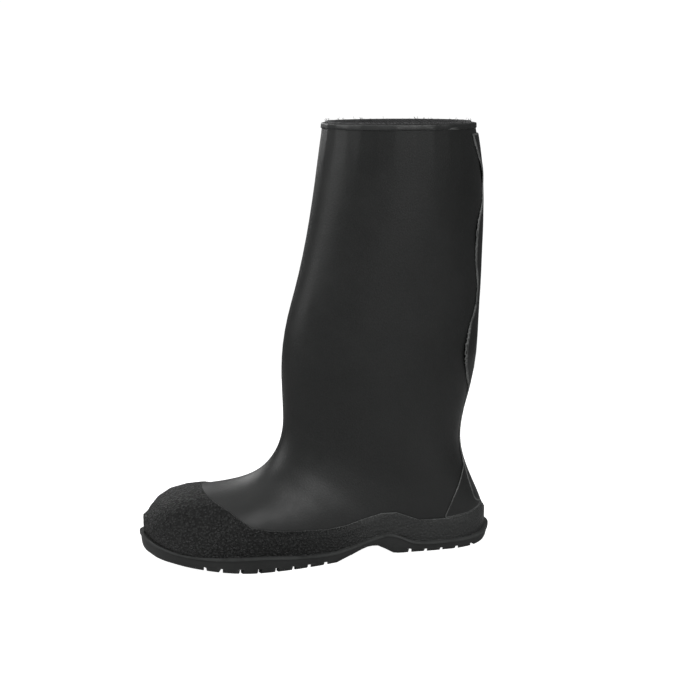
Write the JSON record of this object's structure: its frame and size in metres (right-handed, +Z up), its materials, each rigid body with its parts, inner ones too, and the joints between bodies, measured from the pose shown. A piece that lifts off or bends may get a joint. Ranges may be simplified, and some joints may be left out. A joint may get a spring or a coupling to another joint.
{
  "type": "steel toe work boot",
  "caption": "Tall pull-on black rubber work boot for the left foot, with a grained toe guard, lugged sole, hidden steel toe cap and loose footbed.",
  "frame": {"origin": "on the ground, under the middle of the boot's bounding box", "axes": "+Z up along the leg, -X to the toe, +X to the heel, -Y to the outer side of the foot"},
  "size_m": [0.3298, 0.111, 0.39],
  "materials": {
    "boot_rubber": "satin black, smooth",
    "grained_rubber": "black, pebble grain",
    "sole_rubber": "matte black",
    "steel": "bright pressed steel",
    "bead_plastic": "soft black edging",
    "foam": "closed-cell grey foam",
    "fibre_board": "felted fibre board",
    "counter_plastic": "plain moulded sheet",
    "knit_lining": "dark grey knit with a cut raw edge",
    "footbed_foam": "open dark foam",
    "cover_fabric": "dark woven cover"
  },
  "bodies": {
    "boot": {"outsole": "sole_rubber", "toe_guard_and_rand": "grained_rubber", "upper_shell": "boot_rubber", "heel_stay": "boot_rubber", "back_strip": "boot_rubber", "top_binding": "boot_rubber", "steel_toe_cap": "steel", "toe_cap_edge_bead": "bead_plastic", "toe_cap_pad": "foam", "forepart_filler": "foam", "heel_filler": "foam", "steel_shank": "steel", "steel_midsole_plate": "steel", "heel_wedge": "foam", "insole_board": "fibre_board", "heel_counter": "counter_plastic", "lining_sock": "knit_lining", "lining_seam_tape": "knit_lining"},
    "footbed": {"footbed": "footbed_foam", "footbed_heel_pad": "footbed_foam", "footbed_cover": "cover_fabric"}
  },
  "joints": [
    {"name": "footbed_lift", "type": "hinge", "parent": "boot", "child": "footbed", "pos_m": [-0.15, 0, 0.029], "axis": [0, -1, 0], "range_deg": [0, 1.5]}
  ]
}
